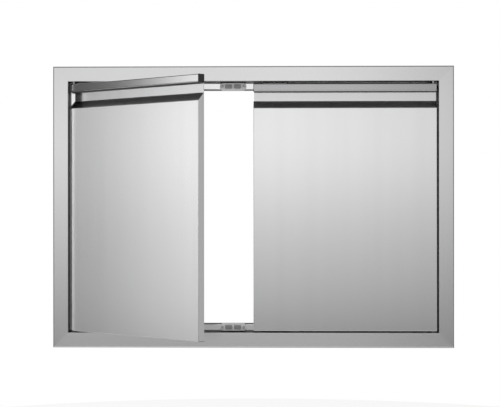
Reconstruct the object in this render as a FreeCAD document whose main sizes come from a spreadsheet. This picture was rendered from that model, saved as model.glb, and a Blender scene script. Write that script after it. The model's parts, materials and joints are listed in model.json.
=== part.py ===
import FreeCAD, Part
import math
import os
from collections import namedtuple
from types import SimpleNamespace

import Sketcher

# Double stainless access door for a built-in barbecue island.
# Row frame: +X to the viewer's right, +Y into the island wall, +Z up.
# Y = 0 is the face of the wall, Z = 0 the bottom edge of the flange, X = 0 the middle.
# Depths called "behind the front" are measured from the front of the flange,
# and a closed door lies flush with it.

Vector = FreeCAD.Vector

# Driving dimensions in millimetres, angles in degrees.
SIZES = {
    # frame
    "frame_width": 815.0,
    "frame_height": 572.5,
    "flange_width": 31.0,
    "flange_depth": 5.0,
    "hem_width": 10.0,
    "jamb_depth": 60.0,
    "frame_gauge": 1.2,
    "edge_radius": 2.5,
    "bend_radius": 1.2,
    "fixing_hole_radius": 2.6,
    "fixing_hole_pitch": 360.0,
    "fixing_hole_depth": 42.0,
    # stop strips inside the frame
    "stop_reach": 17.5,
    "stop_leg": 22.0,
    "stop_return": 10.0,
    "stop_gauge": 1.2,
    "stop_radius": 3.5,
    # magnetic catches on the stop strips
    "catch_width": 54.0,
    "catch_height": 15.4,
    "catch_thick": 5.0,
    "catch_round": 6.5,
    "catch_margin": 1.6,
    "left_catch_offset": 41.0,
    "right_catch_offset": 45.5,
    "magnet_width": 15.0,
    "magnet_height": 8.5,
    "magnet_pitch": 18.0,
    "magnet_seat": 4.0,
    "magnet_proud": 0.3,
    "magnet_fit": 0.1,
    "catch_gap": 0.3,
    "screw_pitch": 43.0,
    "screw_length": 9.0,
    "screw_radius": 1.6,
    "screw_fit": 0.05,
    "screw_head_radius": 2.8,
    "screw_head_thick": 1.0,
    # door leaves
    "side_gap": 3.5,
    "centre_gap": 2.0,
    "top_gap": 5.0,
    "bottom_gap": 3.0,
    "door_thickness": 16.0,
    "skin_gauge": 1.2,
    "liner_gauge": 1.0,
    "rail_height": 15.6,
    "rail_radius": 2.0,
    "grip_height": 19.0,
    "ledge_rise": 15.1,
    "ledge_flange": 10.0,
    "cap_thick": 1.0,
    "cap_plug": 6.0,
    "cap_wall": 1.5,
    "plug_fit": 0.3,
    "left_open_angle": 41.5,
    "right_open_angle": 0.0,
    # strike plates behind the leaves
    "strike_width": 36.0,
    "strike_height": 8.4,
    "strike_thick": 1.0,
    # pivots
    "pivot_inset": 7.0,
    "pivot_depth": 6.0,
    "pin_radius": 2.5,
    "pin_fit": 0.05,
    "pin_head_flats": 8.0,
    "pin_head_thick": 3.0,
    "pin_reach": 10.0,
    "web_clearance": 0.4,
    "thrust_gap": 0.2,
    "washer_radius": 5.0,
    "washer_fit": 0.2,
    # bearing blocks in the hinge corners
    "block_tail": 12.5,
    "block_height": 14.0,
    "block_fit": 0.3,
}

SHARP_BEND = 0.5        # a fold whose inside radius would be smaller is pressed sharp
OVERRUN = 5.0           # how far a cutter runs past what it cuts


class Dim:
    """A size that carries its number and the sheet expression that gives it."""

    def __init__(self, number, text):
        self.number = number
        self.text = text

    @staticmethod
    def of(value):
        return value if isinstance(value, Dim) else Dim(float(value), f"({float(value)})")

    def joined(self, other, sign, number):
        return Dim(number, f"({self.text} {sign} {other.text})")

    def __add__(self, other):
        other = Dim.of(other)
        return self.joined(other, "+", self.number + other.number)

    def __sub__(self, other):
        other = Dim.of(other)
        return self.joined(other, "-", self.number - other.number)

    def __mul__(self, other):
        other = Dim.of(other)
        return self.joined(other, "*", self.number * other.number)

    def __truediv__(self, other):
        other = Dim.of(other)
        return self.joined(other, "/", self.number / other.number)

    def __radd__(self, other):
        return Dim.of(other) + self

    def __rsub__(self, other):
        return Dim.of(other) - self

    def __rmul__(self, other):
        return Dim.of(other) * self

    def __neg__(self):
        return Dim.of(0) - self

    def root(self):
        return Dim(math.sqrt(self.number), f"sqrt({self.text})")


document = FreeCAD.newDocument("AccessDoor")
sheet = document.addObject("Spreadsheet::Sheet", "Sizes")
for row, (alias, number) in enumerate(SIZES.items(), start=1):
    sheet.set(f"A{row}", alias)
    sheet.set(f"B{row}", str(number))
    sheet.setAlias(f"B{row}", alias)
document.recompute()
size = SimpleNamespace(**{alias: Dim(number, f"Sizes.{alias}") for alias, number in SIZES.items()})
nodes = []

# Places that several pieces share.
half_width = size.frame_width / 2
opening_half = half_width - size.flange_width
opening_height = size.frame_height - 2 * size.flange_width
door_width = opening_half - size.side_gap - size.centre_gap / 2
door_height = opening_height - size.top_gap - size.bottom_gap
door_foot = size.flange_width + size.bottom_gap
pivot_across = opening_half - size.side_gap - size.pivot_inset
pivot_back = size.pivot_depth - size.flange_depth
liner_front = size.door_thickness - size.liner_gauge
panel_height = door_height - size.rail_height - size.grip_height - size.ledge_rise
ledge_slope = size.ledge_rise / liner_front
stop_front = (size.door_thickness + size.strike_thick + size.catch_gap
              + size.magnet_proud + size.catch_thick)
catch_inset = size.catch_margin + size.catch_height / 2
catch_front_back = stop_front - size.catch_thick - size.flange_depth
web_hole_radius = size.pin_radius + size.web_clearance
screw_hole_radius = size.screw_radius + size.screw_fit

# Which way a leaf's free edge lies from its pivot, and what is set for that leaf alone.
Hand = namedtuple("Hand", "name sign turn catch_offset")
LEFT = Hand("left", 1, -size.left_open_angle, size.left_catch_offset)
RIGHT = Hand("right", -1, size.right_open_angle, size.right_catch_offset)
HANDS = (LEFT, RIGHT)
ENDS = ("upper", "lower")


def bind(thing, name, value):
    thing.setExpression(name, Dim.of(value).text)


def new_body(label):
    body = document.addObject("PartDesign::Body", label)
    body.Label = label
    return body


def node(piece):
    """Marks a finished piece as a node of the assembly."""
    nodes.append(piece)
    return piece


def new_sketch(body, plane, at=0):
    """A sketch parallel to one of the body's origin planes, at a distance along its axis."""
    sketch = body.newObject("Sketcher::SketchObject", "Sketch")
    origin_plane = next(f for f in body.Origin.OriginFeatures if f.Role == plane)
    sketch.AttachmentSupport = (origin_plane, "")
    sketch.MapMode = "FlatFace"
    lift = -Dim.of(at) if plane == "XZ_Plane" else Dim.of(at)
    bind(sketch, "AttachmentOffset.Base.z", lift)
    return sketch


def fix_point(sketch, geometry, end, across, up):
    """Dimensions one point of the sketch from its origin."""
    for kind, value in (("DistanceX", across), ("DistanceY", up)):
        index = sketch.addConstraint(Sketcher.Constraint(kind, -1, 1, geometry, end, value.number))
        bind(sketch, f"Constraints[{index}]", value)


def bend_arc(before, corner, after, radius):
    """The arc of a rounded corner, where it starts and ends, and whether it runs anticlockwise."""
    back = (before - corner).normalize()
    on = (after - corner).normalize()
    half_turn = back.getAngle(on) / 2
    run = radius / math.tan(half_turn)
    centre = corner + (back + on).normalize() * (radius / math.sin(half_turn))
    start, finish = corner + back * run, corner + on * run
    anticlockwise = (corner - before).cross(after - corner).z > 0
    first, last = (start, finish) if anticlockwise else (finish, start)
    angles = [math.atan2(p.y - centre.y, p.x - centre.x) for p in (first, last)]
    if angles[1] < angles[0]:
        angles[1] += 2 * math.pi
    arc = Part.ArcOfCircle(Part.Circle(centre, Vector(0, 0, 1), radius), *angles)
    return arc, start, finish, anticlockwise


def outline(sketch, corners):
    """Draws a closed outline. Each corner is (across, up) or (across, up, radius of its bend)."""
    corners = [tuple(Dim.of(value) for value in corner) for corner in corners]
    points = [Vector(corner[0].number, corner[1].number, 0) for corner in corners]
    count = len(corners)
    arcs = {}
    for i, corner in enumerate(corners):
        if len(corner) == 3:
            arcs[i] = bend_arc(points[i - 1], points[i], points[(i + 1) % count], corner[2].number)
    first_line = sketch.GeometryCount
    for i in range(count):
        following = (i + 1) % count
        start = arcs[i][2] if i in arcs else points[i]
        finish = arcs[following][1] if following in arcs else points[following]
        sketch.addGeometry(Part.LineSegment(start, finish), False)
    for i, corner in enumerate(corners):
        line_in, line_out = first_line + (i - 1) % count, first_line + i
        if i not in arcs:
            sketch.addConstraint(Sketcher.Constraint("Coincident", line_in, 2, line_out, 1))
            fix_point(sketch, line_out, 1, corner[0], corner[1])
            continue
        arc = sketch.addGeometry(arcs[i][0], False)
        entry, leave = (1, 2) if arcs[i][3] else (2, 1)
        sketch.addConstraint(Sketcher.Constraint("Tangent", line_in, 2, arc, entry))
        sketch.addConstraint(Sketcher.Constraint("Tangent", arc, leave, line_out, 1))
        radius = sketch.addConstraint(Sketcher.Constraint("Radius", arc, corner[2].number))
        bind(sketch, f"Constraints[{radius}]", corner[2])
        mark = sketch.addGeometry(Part.Point(points[i]), True)
        fix_point(sketch, mark, 1, corner[0], corner[1])
        sketch.addConstraint(Sketcher.Constraint("PointOnObject", mark, 1, line_in))
        sketch.addConstraint(Sketcher.Constraint("PointOnObject", mark, 1, line_out))


def box_outline(sketch, left, bottom, right, top, radius=None):
    """Draws a rectangle, with all four corners rounded where a radius is given."""
    ends = ((left, bottom), (right, bottom), (right, top), (left, top))
    outline(sketch, [end if radius is None else (*end, radius) for end in ends])


def circle(sketch, across, up, radius):
    across, up, radius = Dim.of(across), Dim.of(up), Dim.of(radius)
    centre = Vector(across.number, up.number, 0)
    ring = sketch.addGeometry(Part.Circle(centre, Vector(0, 0, 1), radius.number), False)
    fix_point(sketch, ring, 3, across, up)
    index = sketch.addConstraint(Sketcher.Constraint("Radius", ring, radius.number))
    bind(sketch, f"Constraints[{index}]", radius)


def pad(body, sketch, length, both_ways=True):
    feature = body.newObject("PartDesign::Pad", "Pad")
    feature.Profile = sketch
    feature.SideType = "Symmetric" if both_ways else "One side"
    bind(feature, "Length", length)
    return feature


def pocket(body, sketch, length):
    """Cuts the sketch out of the body, half of the length to each side of its plane."""
    document.recompute()
    before = body.Shape.Volume
    feature = body.newObject("PartDesign::Pocket", "Pocket")
    feature.Profile = sketch
    feature.SideType = "Symmetric"
    bind(feature, "Length", length)
    document.recompute()
    if body.Shape.Volume >= before:
        raise RuntimeError(f"a pocket of {body.Label} cuts nothing")
    return feature


def revolve(body, sketch):
    feature = body.newObject("PartDesign::Revolution", "Revolution")
    feature.Profile = sketch
    feature.ReferenceAxis = (sketch, ["V_Axis"])
    feature.Angle = 360
    return feature


def place(piece, across=0, back=0, up=0):
    for axis, value in zip("xyz", (across, back, up)):
        bind(piece, f"Placement.Base.{axis}", value)
    return piece


def on_leaf(piece, hand):
    """Puts a piece drawn about the pivot axis on its leaf, turned as far as the leaf is open."""
    place(piece, -hand.sign * pivot_across, pivot_back, door_foot)
    turn = Dim.of(hand.turn)
    piece.setExpression("Placement.Rotation.Angle", f"{turn.text} * 1 deg")
    return node(piece)


def group(label, members):
    """Like fasteners that share one node, each a solid of its own."""
    compound = document.addObject("Part::Compound", label)
    compound.Label = label
    compound.Links = members
    return compound


def inside(outer_radius, gauge):
    """The inside radius of a bend, as the end of its corner; nothing for a fold pressed sharp."""
    radius = outer_radius - gauge
    return (radius,) if radius.number > SHARP_BEND else ()


# Frame

def rim_plane(side):
    return "YZ_Plane" if side in ("top", "bottom") else "XY_Plane"


def rim_point(side, inward, behind):
    """Sketch place of a point so far in from the frame's outer edge and behind its front."""
    back = behind - size.flange_depth
    return {
        "top": (back, size.frame_height - inward),
        "bottom": (back, Dim.of(inward)),
        "left": (inward - half_width, back),
        "right": (half_width - inward, back),
    }[side]


def rim_bar(label, side, profile):
    """A bar of bent sheet along one side of the frame, mitred at both ends."""
    bar = new_body(label)
    sketch = new_sketch(bar, rim_plane(side))
    outline(sketch, [(*rim_point(side, inward, behind), *bend) for inward, behind, *bend in profile])
    if side in ("top", "bottom"):
        pad(bar, sketch, size.frame_width)
    else:
        pad(bar, sketch, size.frame_height, both_ways=False)
    cutters = new_sketch(bar, "XZ_Plane")
    reach = size.flange_width + size.stop_reach + OVERRUN
    for end in (-1, 1):
        if side in ("top", "bottom"):
            face = (size.frame_height + OVERRUN, size.frame_height - reach)
            outer, inner = face if side == "top" else (Dim.of(-OVERRUN), reach)
            outline(cutters, [(end * (half_width + OVERRUN), outer),
                              (end * (half_width - reach), inner),
                              (end * (half_width + OVERRUN), inner)])
        else:
            across = -1 if side == "left" else 1
            face = (size.frame_height + OVERRUN, size.frame_height - reach)
            outer, inner = face if end == 1 else (Dim.of(-OVERRUN), reach)
            outline(cutters, [(across * (half_width + OVERRUN), outer),
                              (across * (half_width - reach), inner),
                              (across * (half_width - reach), outer)])
    pocket(bar, cutters, 3 * (size.jamb_depth + size.flange_depth))
    return bar


def frame_member(label, side):
    """Hem on the wall, rounded outer edge, flange and jamb, folded from one strip."""
    gauge, face = size.frame_gauge, size.flange_width
    rear = size.flange_depth + size.jamb_depth
    bar = rim_bar(label, side, [
        (size.hem_width, size.flange_depth),
        (0, size.flange_depth),
        (0, 0, size.edge_radius),
        (face, 0, size.bend_radius),
        (face, rear),
        (face - gauge, rear),
        (face - gauge, gauge, *inside(size.bend_radius, gauge)),
        (gauge, gauge, *inside(size.edge_radius, gauge)),
        (gauge, size.flange_depth - gauge),
        (size.hem_width, size.flange_depth - gauge),
    ])
    if side in ("top", "bottom"):
        centre = size.flange_width - gauge / 2
        level = centre if side == "bottom" else size.frame_height - centre
        holes = new_sketch(bar, "XY_Plane", at=level)
        for hand in HANDS:
            circle(holes, -hand.sign * pivot_across, pivot_back, size.pin_radius + size.pin_fit)
        pocket(bar, holes, 3 * gauge)
    else:
        holes = new_sketch(bar, "YZ_Plane")
        for end in (-1, 1):
            up = size.frame_height / 2 + end * size.fixing_hole_pitch / 2
            circle(holes, size.fixing_hole_depth, up, size.fixing_hole_radius)
        pocket(bar, holes, size.frame_width + 2 * OVERRUN)
    return node(bar)


def catch_level(end):
    return (size.frame_height - size.flange_width - catch_inset if end == "upper"
            else size.flange_width + catch_inset)


def stop_strip(label, side):
    """Channel strip welded to the jamb; its face stops the leaves and carries the catches."""
    gauge, radius = size.stop_gauge, size.stop_radius
    jamb, tip = size.flange_width, size.flange_width + size.stop_reach
    bar = rim_bar(label, side, [
        (jamb, stop_front + size.stop_leg),
        (jamb, stop_front, radius),
        (tip, stop_front, radius),
        (tip, stop_front + size.stop_return),
        (tip - gauge, stop_front + size.stop_return),
        (tip - gauge, stop_front + gauge, *inside(radius, gauge)),
        (jamb + gauge, stop_front + gauge, *inside(radius, gauge)),
        (jamb + gauge, stop_front + size.stop_leg),
    ])
    if side in ("top", "bottom"):
        holes = new_sketch(bar, "XZ_Plane")
        level = catch_level("upper" if side == "top" else "lower")
        for hand in HANDS:
            for end in (-1, 1):
                across = -hand.sign * hand.catch_offset + end * size.screw_pitch / 2
                circle(holes, across, level, screw_hole_radius)
        pocket(bar, holes, 3 * (stop_front + size.stop_leg))
    return node(bar)


# Catches

def catch_housing(hand, end):
    """Round-ended housing with two pockets for the magnets and a screw hole at each end."""
    body = new_body(f"{hand.name}_{end}_catch_housing")
    face = new_sketch(body, "XZ_Plane", at=size.catch_thick / 2)
    half_long, half_tall = size.catch_width / 2, size.catch_height / 2
    box_outline(face, -half_long, -half_tall, half_long, half_tall, size.catch_round)
    pad(body, face, size.catch_thick)
    holes = new_sketch(body, "XZ_Plane", at=size.catch_thick / 2)
    for way in (-1, 1):
        circle(holes, way * size.screw_pitch / 2, 0, screw_hole_radius)
    pocket(body, holes, size.catch_thick + 2 * OVERRUN)
    seats = new_sketch(body, "XZ_Plane")
    half_wide = size.magnet_width / 2 + size.magnet_fit
    half_high = size.magnet_height / 2 + size.magnet_fit
    for way in (-1, 1):
        middle = way * size.magnet_pitch / 2
        box_outline(seats, middle - half_wide, -half_high, middle + half_wide, half_high)
    pocket(body, seats, 2 * size.magnet_seat)
    place(body, -hand.sign * hand.catch_offset, catch_front_back, catch_level(end))
    return node(body)


def catch_magnets(hand, end):
    """The two magnets of a catch, standing a little proud of their pockets."""
    magnets = []
    half_wide, half_high = size.magnet_width / 2, size.magnet_height / 2
    thick = size.magnet_seat + size.magnet_proud
    for way, spot in ((-1, "first"), (1, "second")):
        body = new_body(f"{hand.name}_{end}_{spot}_magnet")
        face = new_sketch(body, "XZ_Plane", at=size.magnet_seat - thick / 2)
        box_outline(face, -half_wide, -half_high, half_wide, half_high)
        pad(body, face, thick)
        place(body, -hand.sign * hand.catch_offset + way * size.magnet_pitch / 2,
              catch_front_back, catch_level(end))
        magnets.append(body)
    return node(group(f"{hand.name}_{end}_catch_magnets", magnets))


def catch_screw(label):
    """A flat-headed screw along Y with its head at -Y, spun from its outline."""
    body = new_body(label)
    profile = new_sketch(body, "XZ_Plane")
    shank_end = -size.screw_length
    outline(profile, [(0, size.screw_head_thick), (size.screw_head_radius, size.screw_head_thick),
                      (size.screw_head_radius, 0), (size.screw_radius, 0),
                      (size.screw_radius, shank_end), (0, shank_end)])
    revolve(body, profile)
    body.Placement.Rotation = FreeCAD.Rotation(Vector(1, 0, 0), 90)
    return body


def catch_screws():
    """Screws through the ends of every catch housing into the stop strips."""
    screws = []
    for hand in HANDS:
        for end in ENDS:
            for way, spot in ((-1, "first"), (1, "second")):
                body = catch_screw(f"{hand.name}_{end}_{spot}_catch_screw")
                across = -hand.sign * hand.catch_offset + way * size.screw_pitch / 2
                screws.append(place(body, across, catch_front_back, catch_level(end)))
    return node(group("catch_screws", screws))


# Pivots

def hexagon(sketch, flats):
    """Draws a hexagon round the sketch's origin from its width across the flats."""
    corner = flats / Dim.of(3).root()
    outline(sketch, [(corner, 0), (corner / 2, flats / 2), (-corner / 2, flats / 2),
                     (-corner, 0), (-corner / 2, -flats / 2), (corner / 2, -flats / 2)])


def pivot_pin(hand, end):
    """Hexagon-headed pin put through the jamb from outside, into the leaf's bearing block."""
    body = new_body(f"{hand.name}_{end}_pivot_pin")
    way = 1 if end == "lower" else -1
    gap = size.bottom_gap if end == "lower" else size.top_gap
    length = size.frame_gauge + gap + size.pin_reach
    head = new_sketch(body, "XY_Plane", at=-way * size.pin_head_thick / 2)
    hexagon(head, size.pin_head_flats)
    pad(body, head, size.pin_head_thick)
    shank = new_sketch(body, "XY_Plane", at=way * length / 2)
    circle(shank, 0, 0, size.pin_radius)
    pad(body, shank, length)
    outside = size.flange_width - size.frame_gauge
    up = outside if end == "lower" else size.frame_height - outside
    place(body, -hand.sign * pivot_across, pivot_back, up)
    return node(body)


def thrust_washer(hand):
    """Washer round the lower pin that carries the leaf clear of the bottom jamb."""
    body = new_body(f"{hand.name}_thrust_washer")
    ring = new_sketch(body, "XY_Plane")
    circle(ring, 0, 0, size.washer_radius)
    circle(ring, 0, 0, size.pin_radius + size.washer_fit)
    pad(body, ring, size.bottom_gap - size.thrust_gap, both_ways=False)
    place(body, -hand.sign * pivot_across, pivot_back, size.flange_width)
    return node(body)


# Door leaves. Each is drawn about its own pivot axis, with its foot at Z = 0.

def leaf_point(behind, up):
    """Sketch place, across the leaf's thickness, of a point behind its front and above its foot."""
    return behind - size.pivot_depth, Dim.of(up)


def leaf_across(hand, from_hinge_edge):
    return hand.sign * (from_hinge_edge - size.pivot_inset)


def leaf_span(hand, start, finish):
    """Two places measured from the hinge edge, put in order from left to right."""
    spots = (leaf_across(hand, Dim.of(start)), leaf_across(hand, Dim.of(finish)))
    return spots if hand.sign == 1 else spots[::-1]


def leaf_middle(hand):
    return leaf_across(hand, door_width / 2)


def round_uprights(body, hand):
    """Rounds the folds between the front of the leaf and its two sides."""
    corners = new_sketch(body, "XY_Plane")
    front = -size.pivot_depth
    left, right = leaf_span(hand, 0, door_width)
    for edge, outwards in ((left, -1), (right, 1)):
        outline(corners, [
            (edge, front, size.bend_radius),
            (edge, front + OVERRUN),
            (edge + outwards * OVERRUN, front + OVERRUN),
            (edge + outwards * OVERRUN, front - OVERRUN),
            (edge - outwards * OVERRUN, front - OVERRUN),
            (edge - outwards * OVERRUN, front),
        ])
    pocket(body, corners, 3 * door_height)


def front_skin(hand):
    """Pan folded from one sheet: front, both sides, foot, and the sloping finger ledge."""
    body = new_body(f"{hand.name}_front_skin")
    gauge, bend, rear = size.skin_gauge, size.bend_radius, liner_front
    top = panel_height + size.ledge_rise
    blank = new_sketch(body, "YZ_Plane", at=leaf_middle(hand))
    outline(blank, [leaf_point(rear, 0), (*leaf_point(0, 0), bend),
                    (*leaf_point(0, panel_height), bend), leaf_point(rear, top)])
    pad(body, blank, door_width)
    round_uprights(body, hand)
    drop = gauge * (1 + ledge_slope * ledge_slope).root()
    under_front = panel_height + ledge_slope * gauge - drop
    under_rear = panel_height + ledge_slope * (rear - gauge) - drop
    hollow = new_sketch(body, "YZ_Plane", at=leaf_middle(hand))
    outline(hollow, [
        leaf_point(rear + OVERRUN, gauge),
        (*leaf_point(gauge, gauge), *inside(bend, gauge)),
        (*leaf_point(gauge, under_front), *inside(bend, gauge)),
        leaf_point(rear - gauge, under_rear),
        leaf_point(rear - gauge, top - size.ledge_flange),
        leaf_point(rear + OVERRUN, top - size.ledge_flange),
    ])
    pocket(body, hollow, door_width - 2 * gauge)
    bore = new_sketch(body, "XY_Plane")
    circle(bore, 0, 0, web_hole_radius)
    pocket(body, bore, 3 * gauge)
    return on_leaf(body, hand)


def strike_level(end):
    return catch_level(end) - door_foot


def strike_across(hand):
    return hand.sign * (pivot_across - hand.catch_offset)


def block_level(end):
    """Height of the underside of a bearing block above the leaf's foot."""
    upper = door_height - size.rail_height + size.skin_gauge + size.block_fit
    return upper if end == "upper" else size.skin_gauge


def block_top(end):
    return door_height - size.skin_gauge if end == "upper" else block_level(end) + size.block_height


def liner(hand):
    """Flat sheet that closes the back of the leaf and shows behind the finger recess."""
    body = new_body(f"{hand.name}_liner")
    middle = liner_front + size.liner_gauge / 2 - size.pivot_depth
    face = new_sketch(body, "XZ_Plane", at=middle)
    left, right = leaf_span(hand, size.cap_thick, door_width - size.cap_thick)
    box_outline(face, left, 0, right, door_height)
    pad(body, face, size.liner_gauge)
    return on_leaf(body, hand)


def grip_rail(hand):
    """Channel along the top of the leaf that the fingers pull from below."""
    body = new_body(f"{hand.name}_grip_rail")
    gauge, radius, rear = size.skin_gauge, size.rail_radius, liner_front
    foot = door_height - size.rail_height
    profile = new_sketch(body, "YZ_Plane", at=leaf_middle(hand))
    outline(profile, [
        leaf_point(rear, door_height),
        (*leaf_point(0, door_height), radius),
        (*leaf_point(0, foot), radius),
        leaf_point(rear, foot),
        leaf_point(rear, foot + gauge),
        (*leaf_point(gauge, foot + gauge), *inside(radius, gauge)),
        (*leaf_point(gauge, door_height - gauge), *inside(radius, gauge)),
        leaf_point(rear, door_height - gauge),
    ])
    pad(body, profile, door_width - 2 * size.cap_thick)
    bore = new_sketch(body, "XY_Plane", at=door_height)
    circle(bore, 0, 0, web_hole_radius)
    pocket(body, bore, 3 * gauge)
    return on_leaf(body, hand)


def inside_rail(front, low, rear, high):
    """Outline of what fits in the grip rail, with its front corners cut clear of the folds."""
    cut = size.rail_radius - size.skin_gauge
    return [leaf_point(rear, low), leaf_point(front + cut, low), leaf_point(front, low + cut),
            leaf_point(front, high - cut), leaf_point(front + cut, high), leaf_point(rear, high)]


def end_cap(hand, spot):
    """Moulded cap on one end of the grip rail; only the free end has room for a plug."""
    body = new_body(f"{hand.name}_{spot}_cap")
    foot = door_height - size.rail_height
    cap_middle = size.cap_thick / 2
    centre = cap_middle if spot == "hinge_end" else door_width - cap_middle
    face = new_sketch(body, "YZ_Plane", at=leaf_across(hand, centre))
    radius = size.rail_radius
    outline(face, [leaf_point(size.door_thickness, door_height),
                   (*leaf_point(0, door_height), radius),
                   (*leaf_point(0, foot), radius),
                   leaf_point(size.door_thickness, foot)])
    pad(body, face, size.cap_thick)
    if spot == "free_end":
        edge = size.skin_gauge + size.plug_fit
        depth = size.cap_plug
        plug = new_sketch(body, "YZ_Plane",
                          at=leaf_across(hand, door_width - size.cap_thick - depth / 2))
        rear = liner_front - size.plug_fit
        outline(plug, inside_rail(edge, foot + edge, rear, door_height - edge))
        pad(body, plug, depth)
        wall = edge + size.cap_wall
        hollow = new_sketch(body, "YZ_Plane",
                            at=leaf_across(hand, door_width - size.cap_thick - depth))
        box_outline(hollow, *leaf_point(wall, foot + wall),
                    *leaf_point(rear - size.cap_wall, door_height - wall))
        pocket(body, hollow, 2 * depth)
    return on_leaf(body, hand)


def pivot_block(hand, end):
    """Plastic bearing block inside the hinge corner, bored for the pivot pin to turn in."""
    body = new_body(f"{hand.name}_{end}_pivot_block")
    front, rear = size.skin_gauge + size.block_fit, liner_front - size.block_fit
    low, high = block_level(end), block_top(end)
    side_wall = size.cap_thick if end == "upper" else size.skin_gauge
    start = side_wall + size.block_fit
    finish = size.pivot_inset + size.block_tail
    profile = new_sketch(body, "YZ_Plane", at=leaf_across(hand, (start + finish) / 2))
    outline(profile, inside_rail(front, low, rear, high))
    pad(body, profile, finish - start)
    bore = new_sketch(body, "XY_Plane", at=(low + high) / 2)
    circle(bore, 0, 0, size.pin_radius + size.pin_fit)
    pocket(body, bore, high - low + 2 * OVERRUN)
    return on_leaf(body, hand)


def strike_plate(hand, end):
    """Magnetic steel plate, spot-welded to the back of the leaf, that the magnets hold."""
    body = new_body(f"{hand.name}_{end}_strike_plate")
    half_long, half_tall = size.strike_width / 2, size.strike_height / 2
    centre, level = strike_across(hand), strike_level(end)
    face = new_sketch(body, "XZ_Plane",
                      at=size.door_thickness + size.strike_thick / 2 - size.pivot_depth)
    box_outline(face, centre - half_long, level - half_tall, centre + half_long, level + half_tall)
    pad(body, face, size.strike_thick)
    return on_leaf(body, hand)


def build_frame():
    frame_member("frame_top_rail", "top")
    frame_member("frame_bottom_rail", "bottom")
    frame_member("frame_left_stile", "left")
    frame_member("frame_right_stile", "right")
    for side in ("top", "bottom", "left", "right"):
        stop_strip(f"{side}_stop_strip", side)
    for hand in HANDS:
        for end in ENDS:
            catch_housing(hand, end)
            catch_magnets(hand, end)
            pivot_pin(hand, end)
        thrust_washer(hand)
    catch_screws()


def build_leaf(hand):
    front_skin(hand)
    liner(hand)
    grip_rail(hand)
    end_cap(hand, "hinge_end")
    end_cap(hand, "free_end")
    for end in ENDS:
        pivot_block(hand, end)
        strike_plate(hand, end)


def check_document():
    for thing in document.Objects:
        if "Invalid" in thing.State or "Error" in thing.State:
            raise RuntimeError(f"{thing.Label} failed: {thing.State}")
    for piece in nodes:
        if piece.Shape.isNull() or not piece.Shape.isValid():
            raise RuntimeError(f"{piece.Label} has no valid shape")


def export_nodes():
    os.makedirs("parts", exist_ok=True)
    for piece in nodes:
        piece.Shape.exportStep(f"parts/{piece.Label}.step")


build_frame()
for leaf in HANDS:
    build_leaf(leaf)
document.recompute()
check_document()
export_nodes()
for piece in nodes:
    solids = piece.Shape.Solids
    print(f"{piece.Label}: {len(solids)} solids, {sum(s.Volume for s in solids):.0f} mm3")
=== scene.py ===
import json
import math

import bmesh
import bpy
from mathutils import Matrix, Vector


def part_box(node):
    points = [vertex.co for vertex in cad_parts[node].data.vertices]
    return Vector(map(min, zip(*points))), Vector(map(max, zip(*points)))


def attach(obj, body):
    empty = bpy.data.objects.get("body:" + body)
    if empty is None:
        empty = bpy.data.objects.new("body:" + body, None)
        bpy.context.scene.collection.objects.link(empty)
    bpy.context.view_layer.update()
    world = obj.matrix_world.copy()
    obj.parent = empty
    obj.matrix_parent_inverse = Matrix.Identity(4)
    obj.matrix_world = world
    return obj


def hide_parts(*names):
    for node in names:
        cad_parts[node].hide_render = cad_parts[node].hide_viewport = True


# Double stainless access door of a barbecue island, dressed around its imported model.
# Everything is in metres in the row frame: +X right, +Y into the wall, +Z up.

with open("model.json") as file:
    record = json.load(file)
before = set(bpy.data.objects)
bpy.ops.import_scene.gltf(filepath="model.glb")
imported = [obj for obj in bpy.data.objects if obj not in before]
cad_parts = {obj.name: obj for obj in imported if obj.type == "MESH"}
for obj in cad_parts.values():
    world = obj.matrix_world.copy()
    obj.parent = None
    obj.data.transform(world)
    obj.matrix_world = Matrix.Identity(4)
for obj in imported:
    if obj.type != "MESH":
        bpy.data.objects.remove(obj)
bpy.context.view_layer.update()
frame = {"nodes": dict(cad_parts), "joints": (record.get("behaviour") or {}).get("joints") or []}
NODES = frame["nodes"]

MM = 0.001
HANDS = ("left", "right")
ENDS = ("upper", "lower")
JOINTS = {joint["name"]: joint for joint in frame["joints"]}
LEFT_PIVOT = Vector(JOINTS["left_door_swing"]["pos_m"])
# how far the left leaf is turned at rest, which is how far it can still close
LEFT_TURN = math.radians(JOINTS["left_door_swing"]["range_deg"][0])

ACROSS, UPRIGHT = "across", "upright"


# Materials

def linear(code):
    """An sRGB hex colour as linear RGBA."""
    values = [int(code[i:i + 2], 16) / 255 for i in (1, 3, 5)]
    return (*[v / 12.92 if v <= 0.04045 else ((v + 0.055) / 1.055) ** 2.4 for v in values], 1.0)


def add(tree, kind, inputs=None, **settings):
    """Adds one node; an input is given as a value or as the socket it is linked to."""
    made = tree.nodes.new(kind)
    for name, value in settings.items():
        setattr(made, name, value)
    for name, value in (inputs or {}).items():
        if isinstance(value, bpy.types.NodeSocket):
            tree.links.new(value, made.inputs[name])
        else:
            made.inputs[name].default_value = value
    return made


def empty_tree(owner):
    """The emptied node tree of a new material or world."""
    owner.use_nodes = True
    owner.node_tree.nodes.clear()
    return owner.node_tree


def new_material(name):
    """A material with one shader: its tree, the shader and the Object coordinates."""
    material = bpy.data.materials.new(name)
    tree = empty_tree(material)
    shader = add(tree, "ShaderNodeBsdfPrincipled")
    add(tree, "ShaderNodeOutputMaterial", {"Surface": shader.outputs["BSDF"]})
    place = add(tree, "ShaderNodeTexCoord").outputs["Object"]
    return material, tree, shader, place


# Brushed stainless steel, grade 304, sheet with a number 4 finish. The abrasive belt leaves
# long fine scratches one way, so reflections smear out across them and stay crisp along them,
# and the sheet shows a faint grain and fainter bands that follow the scratches.

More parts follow.
